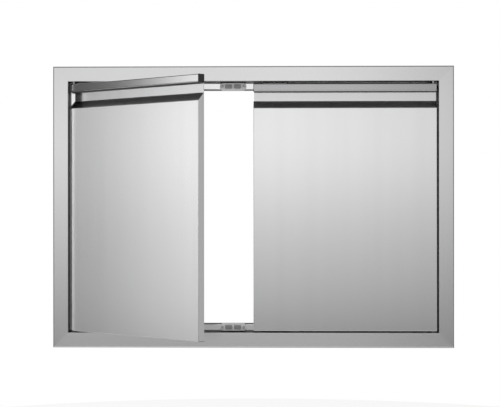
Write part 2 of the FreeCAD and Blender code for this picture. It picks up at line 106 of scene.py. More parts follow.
STEEL = "#E4E4E5"
PANEL_LIT_STEEL = "#EAEAEB"       # painted light: the front skins' steel is painted a little brighter than the frame's
LINER_STEEL = "#D9D9DA"       # the liners keep a duller mill finish
RAIL_SHADED_STEEL = "#BCBCBD"        # painted shade: the rails' steel is painted darker than the panels'
STOP_LIT_STEEL = "#ECECED"        # painted light: the stop strips' steel is painted brighter than the frame's, and is less rough

# Painted shade: the steel's colour is painted darker in the folds, along the stop strips' free
# edges and in the throat in front of the stops. For each painted band: the axis that crosses it,
# its middle and half width, how far it eases off, and how dark it is painted. Bands in one pair
# of brackets are painted darker only where they cross.
STOP_LOW, STOP_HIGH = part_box("bottom_stop_strip"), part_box("top_stop_strip")
STOP_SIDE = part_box("right_stop_strip")
OPENING_MIDDLE = (STOP_LOW[0].z + STOP_HIGH[1].z) / 2
FOLD_PAINTED_SHADE, FOOT_FOLD = 0.4, 0.6 * MM
STOP_LIP, LIP_EASE, LIP_PAINTED_SHADE = 1.8 * MM, 1.2 * MM, 0.15
THROAT_EASE, THROAT_PAINTED_SHADE = 0.3 * MM, 0.15
THROAT_DEPTH = ("Y", STOP_SIDE[0].y / 2, STOP_SIDE[0].y / 2, THROAT_EASE, THROAT_PAINTED_SHADE)
FLANGE_BEND = ("Y", -2.6 * MM, 2.2 * MM, 0.2 * MM, FOLD_PAINTED_SHADE)
FLANGE_PAINTED_SHADE_ACROSS = ((FLANGE_BEND,), (THROAT_DEPTH, (
    "Z", OPENING_MIDDLE, (STOP_HIGH[1].z - STOP_LOW[0].z) / 2 + THROAT_EASE, THROAT_EASE,
    THROAT_PAINTED_SHADE)))
FLANGE_PAINTED_SHADE_UPRIGHT = ((FLANGE_BEND,), (THROAT_DEPTH, (
    "X", 0.0, STOP_SIDE[1].x + THROAT_EASE, THROAT_EASE, THROAT_PAINTED_SHADE)))
STOP_PAINTED_SHADE_ACROSS = ((("Z", OPENING_MIDDLE, (STOP_HIGH[0].z - STOP_LOW[1].z) / 2 + STOP_LIP,
                      LIP_EASE, LIP_PAINTED_SHADE),),)
STOP_PAINTED_SHADE_UPRIGHT = ((("X", 0.0, STOP_SIDE[0].x + STOP_LIP, LIP_EASE, LIP_PAINTED_SHADE),),)
LEAF_PAINTED_SHADE = ((("Z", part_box("right_front_skin")[0].z, FOOT_FOLD, FOOT_FOLD, FOLD_PAINTED_SHADE),),)

SCRATCH_WIDTH = 1.2 * MM      # real scratches are 0.05 mm wide; drawn this coarse to show
SCRATCH_LENGTH = 130 * MM
SCRATCH_DEPTH = 0.002 * MM
SCRATCH_SHADE = 0.975         # how bright the darkest of them are
BAND_WIDTH = 24 * MM
BAND_LENGTH = 1500 * MM
BAND_SHADE = 0.98
ROUGHNESS_SWING = 0.01
CUT_EDGE_SHARE = 0.01         # small enough not to turn the smear anywhere else


def brushed_stainless(name, grain, turned=0.0, roughness=0.18, smear=0.8, steel=STEEL, painted_shade=()):
    """Brushed sheet. turned is how far the piece stands turned about Z at rest; the bands given in
    the last argument are painted darker in the steel's colour, as painted shade."""
    material, tree, shader, place = new_material(name)
    square = add(tree, "ShaderNodeMapping", {"Vector": place, "Rotation": (0, 0, -turned)},
                 vector_type="POINT").outputs[0]

    def streaks(width, length, detail):
        sizes = (length, width, width) if grain == ACROSS else (width, width, length)
        scale = tuple(1 / value for value in sizes)
        stretched = add(tree, "ShaderNodeVectorMath", {0: square, 1: scale}, operation="MULTIPLY")
        return add(tree, "ShaderNodeTexNoise",
                   {"Vector": stretched.outputs[0], "Scale": 1.0, "Detail": detail}).outputs["Fac"]

    # how much of the steel's colour is kept beside a band of painted shade
    def beside(axis, centre, half, ease, painted_level):
        spot = add(tree, "ShaderNodeSeparateXYZ", {0: place}).outputs[axis]
        away = add(tree, "ShaderNodeMath", {0: spot, 1: centre}, operation="SUBTRACT")
        apart = add(tree, "ShaderNodeMath", {0: away.outputs[0]}, operation="ABSOLUTE")
        return add(tree, "ShaderNodeMapRange",
                   {"Value": apart.outputs[0], "From Min": half, "From Max": half + ease,
                    "To Min": painted_level, "To Max": 1.0}).outputs[0]

    scratches = streaks(SCRATCH_WIDTH, SCRATCH_LENGTH, 3.0)
    bands = streaks(BAND_WIDTH, BAND_LENGTH, 1.0)
    fine = add(tree, "ShaderNodeMapRange", {"Value": scratches, "From Min": 0.2, "From Max": 0.8,
                                            "To Min": SCRATCH_SHADE, "To Max": 1.0})
    broad = add(tree, "ShaderNodeMapRange", {"Value": bands, "From Min": 0.3, "From Max": 0.7,
                                             "To Min": BAND_SHADE, "To Max": 1.0})
    brightness = add(tree, "ShaderNodeMath", {0: fine.outputs[0], 1: broad.outputs[0]},
                     operation="MULTIPLY")
    # painted shade: the steel's colour is darkened in each band
    for crossing_bands in painted_shade:
        painted_dimming = beside(*crossing_bands[0])
        for band in crossing_bands[1:]:
            painted_dimming = add(tree, "ShaderNodeMath", {0: painted_dimming, 1: beside(*band)},
                         operation="MAXIMUM").outputs[0]
        brightness = add(tree, "ShaderNodeMath", {0: brightness.outputs[0], 1: painted_dimming},
                         operation="MULTIPLY")
    shade = add(tree, "ShaderNodeVectorMath",
                {0: linear(steel)[:3], "Scale": brightness.outputs[0]}, operation="SCALE")
    tree.links.new(shade.outputs[0], shader.inputs["Base Color"])
    worn = add(tree, "ShaderNodeMapRange",
               {"Value": scratches, "From Min": 0.25, "From Max": 0.75,
                "To Min": roughness - ROUGHNESS_SWING, "To Max": roughness + ROUGHNESS_SWING})
    tree.links.new(worn.outputs[0], shader.inputs["Roughness"])
    relief = add(tree, "ShaderNodeBump", {"Height": scratches, "Strength": 0.3,
                                          "Distance": SCRATCH_DEPTH})
    tree.links.new(relief.outputs[0], shader.inputs["Normal"])
    shader.inputs["Metallic"].default_value = 1.0
    shader.inputs["Anisotropic"].default_value = smear
    # the light smears square to the scratches and in the plane of the sheet, round its folds too
    scratch_way, smear_way = (math.cos(turned), math.sin(turned), 0), (0, 0, 1)
    if grain == UPRIGHT:
        scratch_way, smear_way = smear_way, scratch_way
    facing = add(tree, "ShaderNodeVectorTransform",
                 {"Vector": add(tree, "ShaderNodeNewGeometry").outputs["Normal"]},
                 vector_type="NORMAL", convert_from="WORLD", convert_to="OBJECT")
    crossing = add(tree, "ShaderNodeVectorMath", {0: scratch_way, 1: facing.outputs[0]},
                   operation="CROSS_PRODUCT")
    # on a cut edge square to the scratches their product is nothing, and the small part is left
    kept = add(tree, "ShaderNodeVectorMath",
               {0: crossing.outputs[0], 1: [CUT_EDGE_SHARE * value for value in smear_way]},
               operation="ADD")
    tangent = add(tree, "ShaderNodeVectorTransform", {"Vector": kept.outputs[0]},
                  vector_type="VECTOR", convert_from="OBJECT", convert_to="WORLD")
    tree.links.new(tangent.outputs[0], shader.inputs["Tangent"])
    return material


def mottled(name, dark, pale, grain, roughness, metallic=0.0, relief=0.02 * MM, gloss=0.5):
    """A surface mottled between two close colours, with a fine relief of the same grain."""
    material, tree, shader, place = new_material(name)
    mottle = add(tree, "ShaderNodeTexNoise", {"Vector": place, "Scale": 1 / grain,
                                              "Detail": 3.0}).outputs["Fac"]
    tone = add(tree, "ShaderNodeValToRGB", {"Fac": mottle})
    tone.color_ramp.elements[0].color = linear(dark)
    tone.color_ramp.elements[1].color = linear(pale)
    tree.links.new(tone.outputs[0], shader.inputs["Base Color"])
    raised = add(tree, "ShaderNodeBump", {"Height": mottle, "Strength": 0.4, "Distance": relief})
    tree.links.new(raised.outputs[0], shader.inputs["Normal"])
    shader.inputs["Roughness"].default_value = roughness
    shader.inputs["Metallic"].default_value = metallic
    shader.inputs["Specular IOR Level"].default_value = gloss
    return material


flange_across = brushed_stainless("brushed_stainless_flange_across", ACROSS, smear=0.3,
                                  painted_shade=FLANGE_PAINTED_SHADE_ACROSS)
flange_upright = brushed_stainless("brushed_stainless_flange_upright", UPRIGHT, smear=0.3,
                                   painted_shade=FLANGE_PAINTED_SHADE_UPRIGHT)
# painted light: the stop strips take the brighter painted steel
stop_across = brushed_stainless("painted_bright_stainless_stop_across", ACROSS, roughness=0.12,
                                smear=0.3, steel=STOP_LIT_STEEL, painted_shade=STOP_PAINTED_SHADE_ACROSS)
stop_upright = brushed_stainless("painted_bright_stainless_stop_upright", UPRIGHT, roughness=0.12,
                                 smear=0.3, steel=STOP_LIT_STEEL, painted_shade=STOP_PAINTED_SHADE_UPRIGHT)
RAIL = {"left": brushed_stainless("brushed_stainless_left_rail", ACROSS, LEFT_TURN,
                                  steel=RAIL_SHADED_STEEL),
        "right": brushed_stainless("brushed_stainless_right_rail", ACROSS, steel=RAIL_SHADED_STEEL)}
PANEL = {"left": brushed_stainless("brushed_stainless_left_panel", UPRIGHT, LEFT_TURN,
                                   steel=PANEL_LIT_STEEL, painted_shade=LEAF_PAINTED_SHADE),
         "right": brushed_stainless("brushed_stainless_right_panel", UPRIGHT,
                                    steel=PANEL_LIT_STEEL, painted_shade=LEAF_PAINTED_SHADE)}
LINER = {"left": brushed_stainless("mill_stainless_left_liner", UPRIGHT, LEFT_TURN,
                                   steel=LINER_STEEL),
         "right": brushed_stainless("mill_stainless_right_liner", UPRIGHT, steel=LINER_STEEL)}
# injection-moulded ABS: a fine spark-eroded grit and a dull shine
black_abs = mottled("black_moulded_abs", "#161617", "#222223", 0.8 * MM, 0.48, relief=0.03 * MM)
# extruded EPDM rubber, mid grey and quite matt, for the strips under the grip rails, which are
# painted shade
grey_rubber = mottled("grey_extruded_rubber", "#585858", "#646464", 0.6 * MM, 0.85, gloss=0.2)
# zinc die casting, tumbled and plated satin grey
die_casting = mottled("satin_grey_die_casting", "#DEDEDF", "#EAEAEB", 1.5 * MM, 0.42, metallic=0.4)
# nickel plating over a sintered magnet: a shade darker and yellower than the steel round it
nickel = mottled("nickel_plating", "#A6A5A3", "#B3B2AF", 2 * MM, 0.3, metallic=1.0)
# sintered ferrite: dull grey with a ground face
ferrite = mottled("ground_ferrite", "#979798", "#A5A5A6", 0.7 * MM, 0.55)
# zinc-plated mild steel with a clear passivate
zinc_plated = mottled("zinc_plated_steel", "#A9A9A6", "#B8B8B4", 4 * MM, 0.4, metallic=1.0)
# cold-headed stainless fasteners, tumbled satin
bright_steel = mottled("bright_headed_steel", "#B4B4B4", "#C0C0C0", 2 * MM, 0.3, metallic=1.0)
# nylon 66 filled with graphite, so that it runs dry: dark grey
nylon = mottled("graphite_filled_nylon", "#48484A", "#545456", 1.5 * MM, 0.45)
# machined black acetal, slightly waxy
acetal = mottled("black_acetal", "#1C1C1D", "#262627", 1.2 * MM, 0.4)


def paint(names, material):
    """Gives CAD nodes a material in place of the one they came with."""
    for name in names:
        mesh = NODES[name].data
        mesh.materials.clear()
        mesh.materials.append(material)


def dress_nodes():
    """Gives every CAD node the finish of the real piece."""
    paint(["frame_top_rail", "frame_bottom_rail"], flange_across)
    paint(["frame_left_stile", "frame_right_stile"], flange_upright)
    paint(["top_stop_strip", "bottom_stop_strip"], stop_across)
    paint(["left_stop_strip", "right_stop_strip"], stop_upright)
    paint(["catch_screws"], bright_steel)
    for hand in HANDS:
        paint([f"{hand}_front_skin"], PANEL[hand])
        paint([f"{hand}_liner"], LINER[hand])
        paint([f"{hand}_grip_rail"], RAIL[hand])
        paint([f"{hand}_hinge_end_cap", f"{hand}_free_end_cap"], black_abs)
        paint([f"{hand}_thrust_washer"], nylon)
        for end in ENDS:
            paint([f"{hand}_{end}_catch_housing"], die_casting)
            paint([f"{hand}_{end}_catch_magnets"], nickel)
            paint([f"{hand}_{end}_strike_plate"], zinc_plated)
            paint([f"{hand}_{end}_pivot_block"], acetal)
            paint([f"{hand}_{end}_pivot_pin"], bright_steel)


# Shapes

CREASE = math.radians(35)       # an edge sharper than this stays crisp, the rest are smooth
WELD = 0.001 * MM               # points closer than this become one
SAME = 1e-7                     # coordinates closer than this are equal
CORNER_STEPS, EASE_STEPS = 8, 3
FACING = Matrix.Rotation(math.radians(90), 4, "X")      # stands a flat shape up, facing along Y


def finish_piece(name, bm, materials, body, node=None):
    """Makes a finished shape a piece of the object, in place of a CAD node where one is given."""
    bmesh.ops.remove_doubles(bm, verts=bm.verts, dist=WELD)
    bmesh.ops.recalc_face_normals(bm, faces=bm.faces)
    mesh = bpy.data.meshes.new(name)
    bm.to_mesh(mesh)
    bm.free()
    for material in materials:
        mesh.materials.append(material)
    mesh.polygons.foreach_set("use_smooth", [True] * len(mesh.polygons))
    mesh.set_sharp_from_angle(angle=CREASE)
    piece = bpy.data.objects.new(name, mesh)
    bpy.context.scene.collection.objects.link(piece)
    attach(piece, body)
    if node:
        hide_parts(node)
    return piece


def merge(bm, shape):
    """Adds a shape to another and frees it."""
    carrier = bpy.data.meshes.new("carrier")
    shape.to_mesh(carrier)
    shape.free()
    bm.from_mesh(carrier)
    bpy.data.meshes.remove(carrier)


def block(low, high):
    """A box between two corners."""
    bm = bmesh.new()
    size = Vector(high) - Vector(low)
    bmesh.ops.create_cube(bm, size=1, matrix=Matrix.Translation((Vector(low) + Vector(high)) / 2)
                          @ Matrix.Diagonal((*size, 1)))
    return bm


def round_edges(bm, edges, radius, segments):
    bmesh.ops.bevel(bm, geom=edges, offset=radius, offset_type="OFFSET", segments=segments,
                    profile=0.5, affect="EDGES", material=-1, clamp_overlap=True)


def along(bm, axis):
    """The edges that run along an axis (0, 1 or 2)."""
    others = [other for other in range(3) if other != axis]
    return [edge for edge in bm.edges
            if all(abs(edge.verts[0].co[o] - edge.verts[1].co[o]) < SAME for o in others)]


def front_face(bm, front):
    """The flat face that closes a slab at its front, towards -Y."""
    return next(face for face in bm.faces
                if all(abs(vert.co.y - front) < SAME for vert in face.verts))


def slab(width, height, front, back, corner, rim=0.0):
    """A plate facing -Y, centred on the Y axis, with rounded corners and an eased front rim."""
    bm = block((-width / 2, front, -height / 2), (width / 2, back, height / 2))
    round_edges(bm, along(bm, 1), corner, CORNER_STEPS)
    if rim:
        round_edges(bm, list(front_face(bm, front).edges), rim, EASE_STEPS)
    return bm


def widen(bm, edges, grow_x, grow_z, forward):
    """Extrudes a loop of edges, wider or narrower by so much on each side, and forward."""
    new = bmesh.ops.extrude_edge_only(bm, edges=edges)["geom"]
    verts = [item for item in new if isinstance(item, bmesh.types.BMVert)]
    middle = sum((vert.co for vert in verts), Vector()) / len(verts)
    half_x = max(vert.co.x for vert in verts) - middle.x
    half_z = max(vert.co.z for vert in verts) - middle.z
    bmesh.ops.scale(bm, verts=verts, vec=(1 + grow_x / half_x, 1, 1 + grow_z / half_z),
                    space=Matrix.Translation(-middle))
    bmesh.ops.translate(bm, verts=verts, vec=(0, -forward, 0))
    return [item for item in new if isinstance(item, bmesh.types.BMEdge)]


def open_edges(bm):
    return [edge for edge in bm.edges if edge.is_boundary]


def moved(bm, place):
    bmesh.ops.translate(bm, verts=bm.verts, vec=place)
    return bm


def middle(name):
    low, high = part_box(name)
    return (low + high) / 2


# Magnetic catches

HOUSING_CORNER, HOUSING_EASE = 6.4 * MM, 0.8 * MM
POCKET_EDGE, POCKET_DEPTH = 0.3 * MM, 4 * MM
POCKET_PLAY = 0.2 * MM          # how much wider a pocket is than its magnet
MAGNET_WIDE, MAGNET_CORNER, MAGNET_EASE = 15 * MM, 3.0 * MM, 0.5 * MM
# inset and depth in mm: the cup's wall, down into the groove round the core, up to the core
CUP_STEPS = ((0.9, 0), (0.3, -0.5), (0.25, 0.5))


def catch_housing(name):
    """Round-ended casting with an eased rim and two round-cornered pockets."""
    low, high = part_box(name)
    width, height, thick = high.x - low.x, high.z - low.z, high.y - low.y
    magnet_low, magnet_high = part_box(name.replace("housing", "magnets"))
    magnet_tall = magnet_high.z - magnet_low.z
    bm = slab(width, height, 0, thick, HOUSING_CORNER, rim=HOUSING_EASE)
    bmesh.ops.delete(bm, geom=[front_face(bm, 0)], context="FACES_ONLY")
    apart = (magnet_high.x - magnet_low.x - MAGNET_WIDE) / 2
    for way in (-1, 1):
        pocket = slab(MAGNET_WIDE + POCKET_PLAY, magnet_tall + POCKET_PLAY, POCKET_EDGE,
                      POCKET_DEPTH, MAGNET_CORNER)
        bmesh.ops.delete(pocket, geom=[front_face(pocket, POCKET_EDGE)], context="FACES_ONLY")
        widen(pocket, open_edges(pocket), POCKET_EDGE, POCKET_EDGE, POCKET_EDGE)
        merge(bm, moved(pocket, (way * apart, 0, 0)))
    bmesh.ops.triangle_fill(bm, use_beauty=True, edges=open_edges(bm))
    moved(bm, ((low.x + high.x) / 2, low.y, (low.z + high.z) / 2))
    finish_piece(name + "_casting", bm, [die_casting], "frame", name)


def catch_magnets(name):
    """Two magnets, each a ground ferrite core in a nickel-plated cup with round corners."""
    low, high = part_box(name)
    tall, thick = high.z - low.z, high.y - low.y
    bm = bmesh.new()
    for way in (-1, 1):
        cup = slab(MAGNET_WIDE, tall, 0, thick, MAGNET_CORNER, rim=MAGNET_EASE)
        core = front_face(cup, 0)
        for thickness, depth in CUP_STEPS:
            bmesh.ops.inset_region(cup, faces=[core], thickness=thickness * MM, depth=depth * MM,
                                   use_even_offset=True)
        core.material_index = 1
        merge(bm, moved(cup, (way * (high.x - low.x - MAGNET_WIDE) / 2, 0, 0)))
    moved(bm, ((low.x + high.x) / 2, low.y, (low.z + high.z) / 2))
    finish_piece(name + "_cups", bm, [nickel, ferrite], "frame", name)


# Catch screws: cross-recessed pan heads on plain shanks

HEAD_RADIUS, HEAD_TALL = 2.8 * MM, 1.0 * MM
# in mm: the radius of the head's flat top, then radius and depth below the top on its way out
HEAD_FLAT = 1.7
HEAD_RINGS = ((2.35, 0.18), (2.72, 0.45), (2.8, 0.75), (2.8, 1.0))
RECESS_REACH, RECESS_WING = 1.25 * MM, 0.33 * MM    # half the length and width of a wing
RECESS_TAPER, RECESS_DEPTH = 0.35 * MM, 0.6 * MM
SHANK_RADIUS, SHANK_END = 1.6 * MM, 9 * MM
TIP_TALL, TIP_TAPER = 1 * MM, 0.9 * MM
SCREW_PLACE = 21.5 * MM         # from the middle of a catch to each of its screws


def cross_recess_screw():
    """A screw along +Y whose head's top is at the origin, its recess tapering inwards."""
    bm = bmesh.new()
    bmesh.ops.create_grid(bm, x_segments=3, y_segments=3, size=RECESS_REACH, matrix=FACING)
    for vert in bm.verts:
        for axis in (0, 2):
            if abs(vert.co[axis]) < RECESS_REACH / 2:
                vert.co[axis] = math.copysign(RECESS_WING, vert.co[axis])
    corners = [face for face in bm.faces if all(abs(value) > RECESS_WING for value in
                                                (face.calc_center_median().x,
                                                 face.calc_center_median().z))]
    bmesh.ops.delete(bm, geom=corners, context="FACES")
    recess = open_edges(bm)
    bmesh.ops.delete(bm, geom=list(bm.faces), context="FACES_ONLY")
    bmesh.ops.delete(bm, geom=[edge for edge in bm.edges if edge not in recess],
                     context="EDGES")
    floor = widen(bm, recess, -RECESS_TAPER, -RECESS_TAPER, -RECESS_DEPTH)
    bmesh.ops.triangle_fill(bm, use_beauty=True, edges=floor)
    ring = bmesh.ops.create_circle(bm, segments=24, radius=HEAD_FLAT * MM,
                                   matrix=FACING)["verts"]
    rim = [edge for edge in bm.edges if edge.verts[0] in ring and edge.verts[1] in ring]
    bmesh.ops.triangle_fill(bm, use_beauty=True, edges=recess + rim)
    loop, reach, depth = rim, HEAD_FLAT, 0.0
    for wider, lower in HEAD_RINGS:
        loop = widen(bm, loop, (wider - reach) * MM, (wider - reach) * MM, (depth - lower) * MM)
        reach, depth = wider, lower
    loop = widen(bm, loop, SHANK_RADIUS - HEAD_RADIUS, SHANK_RADIUS - HEAD_RADIUS, 0)
    loop = widen(bm, loop, 0, 0, HEAD_TALL - SHANK_END)
    loop = widen(bm, loop, -TIP_TAPER, -TIP_TAPER, -TIP_TALL)
    bmesh.ops.triangle_fill(bm, use_beauty=True, edges=loop)
    return bm


def catch_screws():
    low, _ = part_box("catch_screws")
    bm = bmesh.new()
    for hand in HANDS:
        for end in ENDS:
            centre = middle(f"{hand}_{end}_catch_housing")
            for way in (-1, 1):
                screw = cross_recess_screw()
                # driven home, their recesses stand at odd angles
                turn = Matrix.Rotation(math.radians(20 + 31 * way), 3, "Y")
                bmesh.ops.rotate(screw, verts=screw.verts, matrix=turn)
                merge(bm, moved(screw, (centre.x + way * SCREW_PLACE, low.y, centre.z)))
    finish_piece("catch_screws_cross_recessed", bm, [bright_steel], "frame",
                 "catch_screws")


# Leaf pieces, drawn on the closed leaf and then swung with it

def leaf_span(hand, low, high):
    """A span across the right leaf, or its mirror image on the left one."""
    return (low, high) if hand == "right" else (-high, -low)


def swing(bm, hand):
    if hand == "left":
        bmesh.ops.rotate(bm, verts=bm.verts, cent=LEFT_PIVOT,
                         matrix=Matrix.Rotation(LEFT_TURN, 3, "Z"))
    return bm


RAIL_ROUND, RAIL_ROUND_STEPS = 2.0 * MM, 6
CAP_EASE = 0.35 * MM
PLUG_INSET = 1.5 * MM           # how far the plug stays inside the cap's outline
PLUG_ROOT = 0.2 * MM            # how deep the plug is set into the cap


def end_cap(hand, spot):
    """Moulded cap with the rail's rounded corners, eased all round, and its plug."""
    low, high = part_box(f"right_{spot}_cap")
    # the cap at the hinge has no plug, so its box is as thick as both caps
    plain_low, plain_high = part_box("right_hinge_end_cap")
    thick = plain_high.x - plain_low.x
    if spot == "free_end":
        left, right = leaf_span(hand, low.x, low.x + thick)
    else:
        left, right = leaf_span(hand, high.x - thick, high.x)
    bm = block((left, low.y, low.z), (right, high.y, high.z))
    front_edges = [edge for edge in along(bm, 0) if edge.verts[0].co.y < low.y + SAME]
    round_edges(bm, front_edges, RAIL_ROUND, RAIL_ROUND_STEPS)
    outer = left if (hand == "right") == (spot == "free_end") else right
    outer_edges = [edge for edge in bm.edges
                   if all(abs(vert.co.x - outer) < SAME for vert in edge.verts)]
    round_edges(bm, outer_edges, CAP_EASE, EASE_STEPS)
    if spot == "free_end":
        plug_low, plug_high = leaf_span(hand, low.x + thick - PLUG_ROOT, high.x)
        merge(bm, block((plug_low, low.y + PLUG_INSET, low.z + PLUG_INSET),
                        (plug_high, high.y - PLUG_INSET, high.z - PLUG_INSET)))
    finish_piece(f"{hand}_{spot}_cap_moulding", swing(bm, hand), [black_abs], f"{hand}_door",
                 f"{hand}_{spot}_cap")


STRIP_THICK, STRIP_SETBACK = 0.9 * MM, 0.3 * MM
STRIP_RIBS, RIB_TALL = 6, 0.35 * MM
RIB_TAPER = 0.7                 # how wide a rib is at its end, against its root


def painted_shade_strip(hand):
    """Ribbed rubber strip under the grip rail, a dark piece put there as painted shade."""
    rail_low, rail_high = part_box("right_grip_rail")
    left, right = leaf_span(hand, rail_low.x, rail_high.x)
    front, rear = rail_low.y + RAIL_ROUND, rail_high.y - STRIP_SETBACK
    top = rail_low.z
    rib_root = top - STRIP_THICK + RIB_TALL
    bm = block((left, front, rib_root), (right, rear, top))
    steps = 2 * STRIP_RIBS - 1
    width = (rear - front) / steps
    for step in range(1, steps):
        bmesh.ops.bisect_plane(bm, geom=bm.verts[:] + bm.edges[:] + bm.faces[:],
                               plane_co=(0, front + step * width, 0), plane_no=(0, 1, 0))
    ribs = [face for face in bm.faces
            if all(abs(vert.co.z - rib_root) < SAME for vert in face.verts)
            and round((face.calc_center_median().y - front) / width - 0.5) % 2 == 0]
    for rib in ribs:
        lowered = bmesh.ops.extrude_discrete_faces(bm, faces=[rib])["faces"]
        bmesh.ops.translate(bm, verts=lowered[0].verts, vec=(0, 0, -RIB_TALL))
        bmesh.ops.scale(bm, verts=lowered[0].verts, vec=(1, RIB_TAPER, 1),
                        space=Matrix.Translation(-lowered[0].calc_center_median()))
    finish_piece(f"{hand}_painted_shade_strip", swing(bm, hand), [grey_rubber], f"{hand}_door")


PLATE_CORNER, PLATE_EASE = 1.2 * MM, 0.15 * MM
DIMPLE_RADIUS = 1.9 * MM
DIMPLE_STEPS = ((0.5, 0.16), (0.6, 0.1))    # in mm: how much narrower and deeper each time


def strike_plate(hand, end):
    """Plated steel plate with the two dimples that its spot welds leave."""
    low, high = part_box(f"right_{end}_strike_plate")
    catch = middle(f"{hand}_{end}_catch_housing")
    width, height, thick = high.x - low.x, high.z - low.z, high.y - low.y
    bm = slab(width, height, 0, thick, PLATE_CORNER, rim=PLATE_EASE)
    bmesh.ops.delete(bm, geom=[front_face(bm, 0)], context="FACES_ONLY")
    for way in (-1, 1):
        dimple = bmesh.new()
        bmesh.ops.create_circle(dimple, segments=20, radius=DIMPLE_RADIUS, matrix=FACING)
        loop = list(dimple.edges)
        for narrower, deeper in DIMPLE_STEPS:
            loop = widen(dimple, loop, -narrower * MM, -narrower * MM, -deeper * MM)
        bmesh.ops.triangle_fill(dimple, use_beauty=True, edges=loop)
        merge(bm, moved(dimple, (way * width / 4, 0, 0)))
    bmesh.ops.triangle_fill(bm, use_beauty=True, edges=open_edges(bm))
    # it faces back, towards the magnets
    bmesh.ops.rotate(bm, verts=bm.verts, matrix=Matrix.Rotation(math.pi, 3, "Z"))
    moved(bm, (catch.x, high.y, catch.z))
    finish_piece(f"{hand}_{end}_strike_plate_welded", swing(bm, hand), [zinc_plated],
                 f"{hand}_door", f"{hand}_{end}_strike_plate")


PIN_RADIUS, PIN_CHAMFER = 2.5 * MM, 0.6 * MM
PIN_HEAD_TALL = 3 * MM
PIN_HEAD_INSET, PIN_HEAD_RISE = 0.5 * MM, 0.3 * MM      # the chamfer of the head


def pivot_pin(hand, end):
    """Pin with a chamfered hexagon head outside the jamb and a chamfered tip in the leaf."""
    name = f"{hand}_{end}_pivot_pin"
    low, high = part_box(name)
    way = 1 if end == "lower" else -1
    outside, tip = (low.z, high.z) if end == "lower" else (high.z, low.z)
    centre = (low + high) / 2
    head_foot = outside + way * PIN_HEAD_TALL

    def turned_bar(radius, start, stop, segments, inset, rise):
        bm = bmesh.new()
        bmesh.ops.create_cone(bm, cap_ends=True, segments=segments, radius1=radius,
                              radius2=radius, depth=abs(stop - start),
                              matrix=Matrix.Translation((centre.x, centre.y, (start + stop) / 2))
                              @ Matrix.Rotation(math.radians(90), 4, "Z"))
        cap = min((face for face in bm.faces if len(face.verts) == segments),
                  key=lambda face: abs(face.calc_center_median().z - stop))
        bmesh.ops.inset_region(bm, faces=[cap], thickness=inset, depth=rise,
                               use_even_offset=True)
        return bm

    bm = turned_bar((high.x - low.x) / 2, head_foot, outside + way * PIN_HEAD_RISE, 6,
                    PIN_HEAD_INSET, PIN_HEAD_RISE)
    merge(bm, turned_bar(PIN_RADIUS, head_foot, tip - way * PIN_CHAMFER, 32, PIN_CHAMFER,
                         PIN_CHAMFER))
    finish_piece(name + "_headed", bm, [bright_steel], "frame", name)


def dress_details():
    catch_screws()
    for hand in HANDS:
        painted_shade_strip(hand)
        for spot in ("hinge_end", "free_end"):
            end_cap(hand, spot)
        for end in ENDS:
            catch_housing(f"{hand}_{end}_catch_housing")
            catch_magnets(f"{hand}_{end}_catch_magnets")
            strike_plate(hand, end)
            pivot_pin(hand, end)


# Studio

FLOOR_LEVEL = -0.3
FLOOR_RADIUS = 1.5
FLOOR_GLOW = 0.36           # what the camera and the metal see of it beside its own light
LAMP_PLACE, LAMP_AIM = (-1.2, -1.6, 2.4), (0, 0, 0.28)
LAMP_SIZE, LAMP_POWER = 1.5, 18
# the camera was fitted to the straight edges in the photograph; its turns are in degrees
CAMERA_LENS, CAMERA_PLACE = 106.88, (0.06729, -3.01959, 0.2922)
CAMERA_TURNS = (90 + 0.018, 0.033, 1.393)
SCREEN_RADIUS = 30.0
MIDDLE = Vector((0, 0, 0.286))
BACKDROP_START = 130        # from here round the back the screens leave the white backdrop open
# Brightness of the screens, round the compass (degrees to the right of the way the object
# faces) and from low to high (degrees above the horizon), and how steeply it changes upwards.
ROUND_THE_STUDIO = ((-130, 0.6), (-108, 0.12), (-88.0, 0.12), (-87.0, 2.2), (-84.2, 2.2),
                    (-81, 0.95), (-74, 0.55), (-58, 0.5), (-24, 0.5), (-15, 0.8), (-8, 0.98),
                    (-3, 0.99), (0, 1.08), (2.5, 1.09), (4, 0.97), (6, 0.78), (10, 0.58),
                    (20, 0.5), (60, 0.5), (80, 0.5), (130, 0.5))
UP_THE_STUDIO = ((-90, 0.5), (-30, 0.5), (-14, 0.3), (-9, 0.2), (-7, 0.2), (-6, 0.29),
                 (-5.2, 0.385), (-4.6, 0.53), (-3.4, 0.6), (-2.3, 0.67), (-1.1, 0.755),
                 (-0.5, 0.81), (0, 0.88), (0.6, 0.96), (1.2, 1.03), (1.8, 1.1), (2.4, 1.15),
                 (3.9, 1.17), (4.4, 1.12), (5, 0.98), (6, 0.88), (10, 0.8), (20, 0.55),
                 (40, 0.42), (90, 0.42))
STEEPNESS = ((-130, 0.5), (-80, 0.5), (-60, 0.3), (-26, 0.3), (-15, 1.0), (12, 1.0), (22, 0.3),
             (60, 0.15), (130, 0.0))
PLAIN_LIGHT = 0.78          # the even light that falls on matt surfaces


def brightness_along(tree, angle, spots):
    """A brightness that follows an angle through (degrees, brightness) spots."""
    start, stop = spots[0][0], spots[-1][0]
    turn = add(tree, "ShaderNodeMapRange", {"Value": angle, "From Min": math.radians(start),
                                            "From Max": math.radians(stop)})
    ramp = add(tree, "ShaderNodeValToRGB", {"Fac": turn.outputs[0]})
    colours = ramp.color_ramp
    while len(colours.elements) < len(spots):
        colours.elements.new(0.5)
    highest = max(level for _, level in spots)
    for element, (degrees, level) in zip(colours.elements, spots):
        element.position = (degrees - start) / (stop - start)
        element.color = (*[level / highest] * 3, 1)
    return add(tree, "ShaderNodeMath", {0: ramp.outputs[0], 1: highest},
               operation="MULTIPLY").outputs[0]


